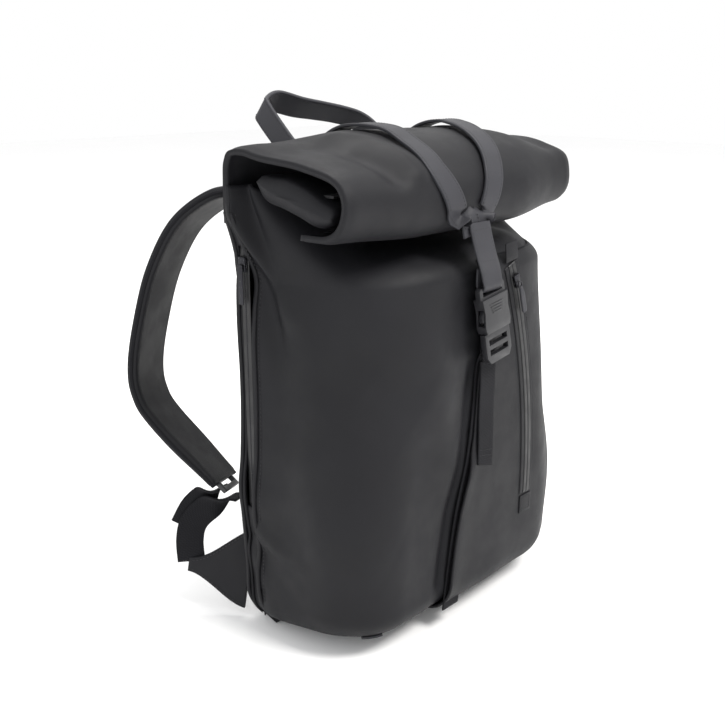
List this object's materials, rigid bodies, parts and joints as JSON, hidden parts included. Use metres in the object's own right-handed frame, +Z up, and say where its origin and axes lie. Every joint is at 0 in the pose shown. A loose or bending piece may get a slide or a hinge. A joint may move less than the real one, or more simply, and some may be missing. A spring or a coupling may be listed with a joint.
{
  "type": "roll-top backpack",
  "caption": "Leather roll-top backpack with a folded roof, Y-shaped closing strap and side-release buckle, zipped pockets, padded shoulder straps and a carry handle.",
  "frame": {"origin": "on the floor, under the middle of the body's base", "axes": "+Z up, the front with the buckle faces -Y, +X to the right seen from the front"},
  "size_m": [0.3948, 0.294, 0.463],
  "materials": {
    "body_leather": "matte coated leather, fine grain",
    "strap_leather": "matte coated leather, edge painted",
    "webbing": "woven polyester webbing",
    "plastic": "moulded, satin",
    "lining": "plain woven lining",
    "board": "stiffener sheet",
    "pad_cloth": "padded, leather-faced foam",
    "zip_tape": "coated zip tape",
    "zip_metal": "black lacquer"
  },
  "bodies": {
    "bag": {"base_panel": "body_leather", "base_board": "board", "front_shell": "body_leather", "left_gusset": "body_leather", "right_gusset": "body_leather", "side_zip_foot": "body_leather", "side_zip_tape": "zip_tape", "back_panel": "body_leather", "frame_sheet": "board", "back_pad_left": "pad_cloth", "back_pad_right": "pad_cloth", "laptop_sleeve": "lining", "pocket_bag": "lining", "front_overlap": "body_leather", "lower_webbing": "webbing", "front_zip_tape": "zip_tape", "zip_garage_tab": "body_leather", "zip_end_tab": "body_leather", "buckle_male": "plastic", "roof_sheet": "body_leather", "roof_core": "body_leather", "roof_stiffener": "board", "strap_arm_left": "strap_leather", "strap_arm_right": "strap_leather", "handle_anchor": "body_leather", "hang_ring": "strap_leather", "left_top_anchor": "body_leather", "right_top_anchor": "body_leather", "bottom_label": "body_leather"},
    "clip_end": {"strap_stem": "strap_leather", "buckle_female": "plastic"},
    "prong_left": {"buckle_prong_left": "plastic"},
    "prong_right": {"buckle_prong_right": "plastic"},
    "tail": {"webbing_tail": "webbing"},
    "front_slider": {"front_zip_slider": "zip_metal"},
    "front_pull": {"front_zip_pull": "webbing"},
    "side_slider": {"side_zip_slider": "zip_metal"},
    "side_pull": {"side_zip_pull": "zip_metal"},
    "handle": {"carry_handle": "strap_leather"},
    "left_strap": {"left_strap_pad": "pad_cloth", "left_top_webbing": "webbing", "left_adjuster": "plastic", "left_lower_webbing": "webbing", "left_wing": "body_leather", "left_webbing_end": "webbing"},
    "right_strap": {"right_strap_pad": "pad_cloth", "right_top_webbing": "webbing", "right_adjuster": "plastic", "right_lower_webbing": "webbing", "right_wing": "body_leather", "right_webbing_end": "webbing"}
  },
  "joints": [
    {"name": "buckle_release", "type": "slide", "parent": "bag", "child": "clip_end", "axis": [-0.1386, 0.0872, 0.9865], "range_m": [0, 0.024], "deforming": ["buckle_prong_left", "buckle_prong_right"]},
    {"name": "prong_left_squeeze", "type": "hinge", "parent": "bag", "child": "prong_left", "pos_m": [-0.01317, -0.09952, 0.27368], "axis": [0.0121, 0.9962, -0.0863], "range_deg": [0, 11], "stiffness_Nm_per_rad": 0.05},
    {"name": "prong_right_squeeze", "type": "hinge", "parent": "bag", "child": "prong_right", "pos_m": [0.00683, -0.09952, 0.27649], "axis": [-0.0121, -0.9962, 0.0863], "range_deg": [0, 11], "stiffness_Nm_per_rad": 0.05},
    {"name": "tail_swing", "type": "hinge", "parent": "bag", "child": "tail", "pos_m": [0, -0.0919, 0.2455], "axis": [-1, 0, 0], "range_deg": [0, 75]},
    {"name": "front_zip_travel", "type": "hinge", "parent": "bag", "child": "front_slider", "pos_m": [-0.49883, -0.0919, 0.11193], "axis": [0, 1, 0], "range_deg": [0, 20]},
    {"name": "front_zip_pull_swing", "type": "hinge", "parent": "front_slider", "child": "front_pull", "pos_m": [0.03637, -0.09625, 0.30804], "axis": [-0.9385, 0, -0.3453], "range_deg": [0, 80]},
    {"name": "side_zip_travel", "type": "slide", "parent": "bag", "child": "side_slider", "axis": [0, 0, -1], "range_m": [0, 0.2]},
    {"name": "side_zip_pull_swing", "type": "hinge", "parent": "side_slider", "child": "side_pull", "pos_m": [-0.15945, 0.0413, 0.33225], "axis": [0, 1, 0], "range_deg": [0, 80]},
    {"name": "handle_swing", "type": "hinge", "parent": "bag", "child": "handle", "pos_m": [0, 0.073, 0.4], "axis": [1, 0, 0], "range_deg": [-42, 30]},
    {"name": "left_strap_swing", "type": "hinge", "parent": "bag", "child": "left_strap", "pos_m": [-0.148, 0.068, 0.032], "axis": [0.1995, 0, 0.9799], "range_deg": [-40, 15]},
    {"name": "right_strap_swing", "type": "hinge", "parent": "bag", "child": "right_strap", "pos_m": [0.148, 0.068, 0.032], "axis": [-0.1995, 0, 0.9799], "range_deg": [-15, 40]}
  ],
  "couplings": [
    {"joint": "prong_right_squeeze", "follows": "prong_left_squeeze", "ratio": 1}
  ]
}
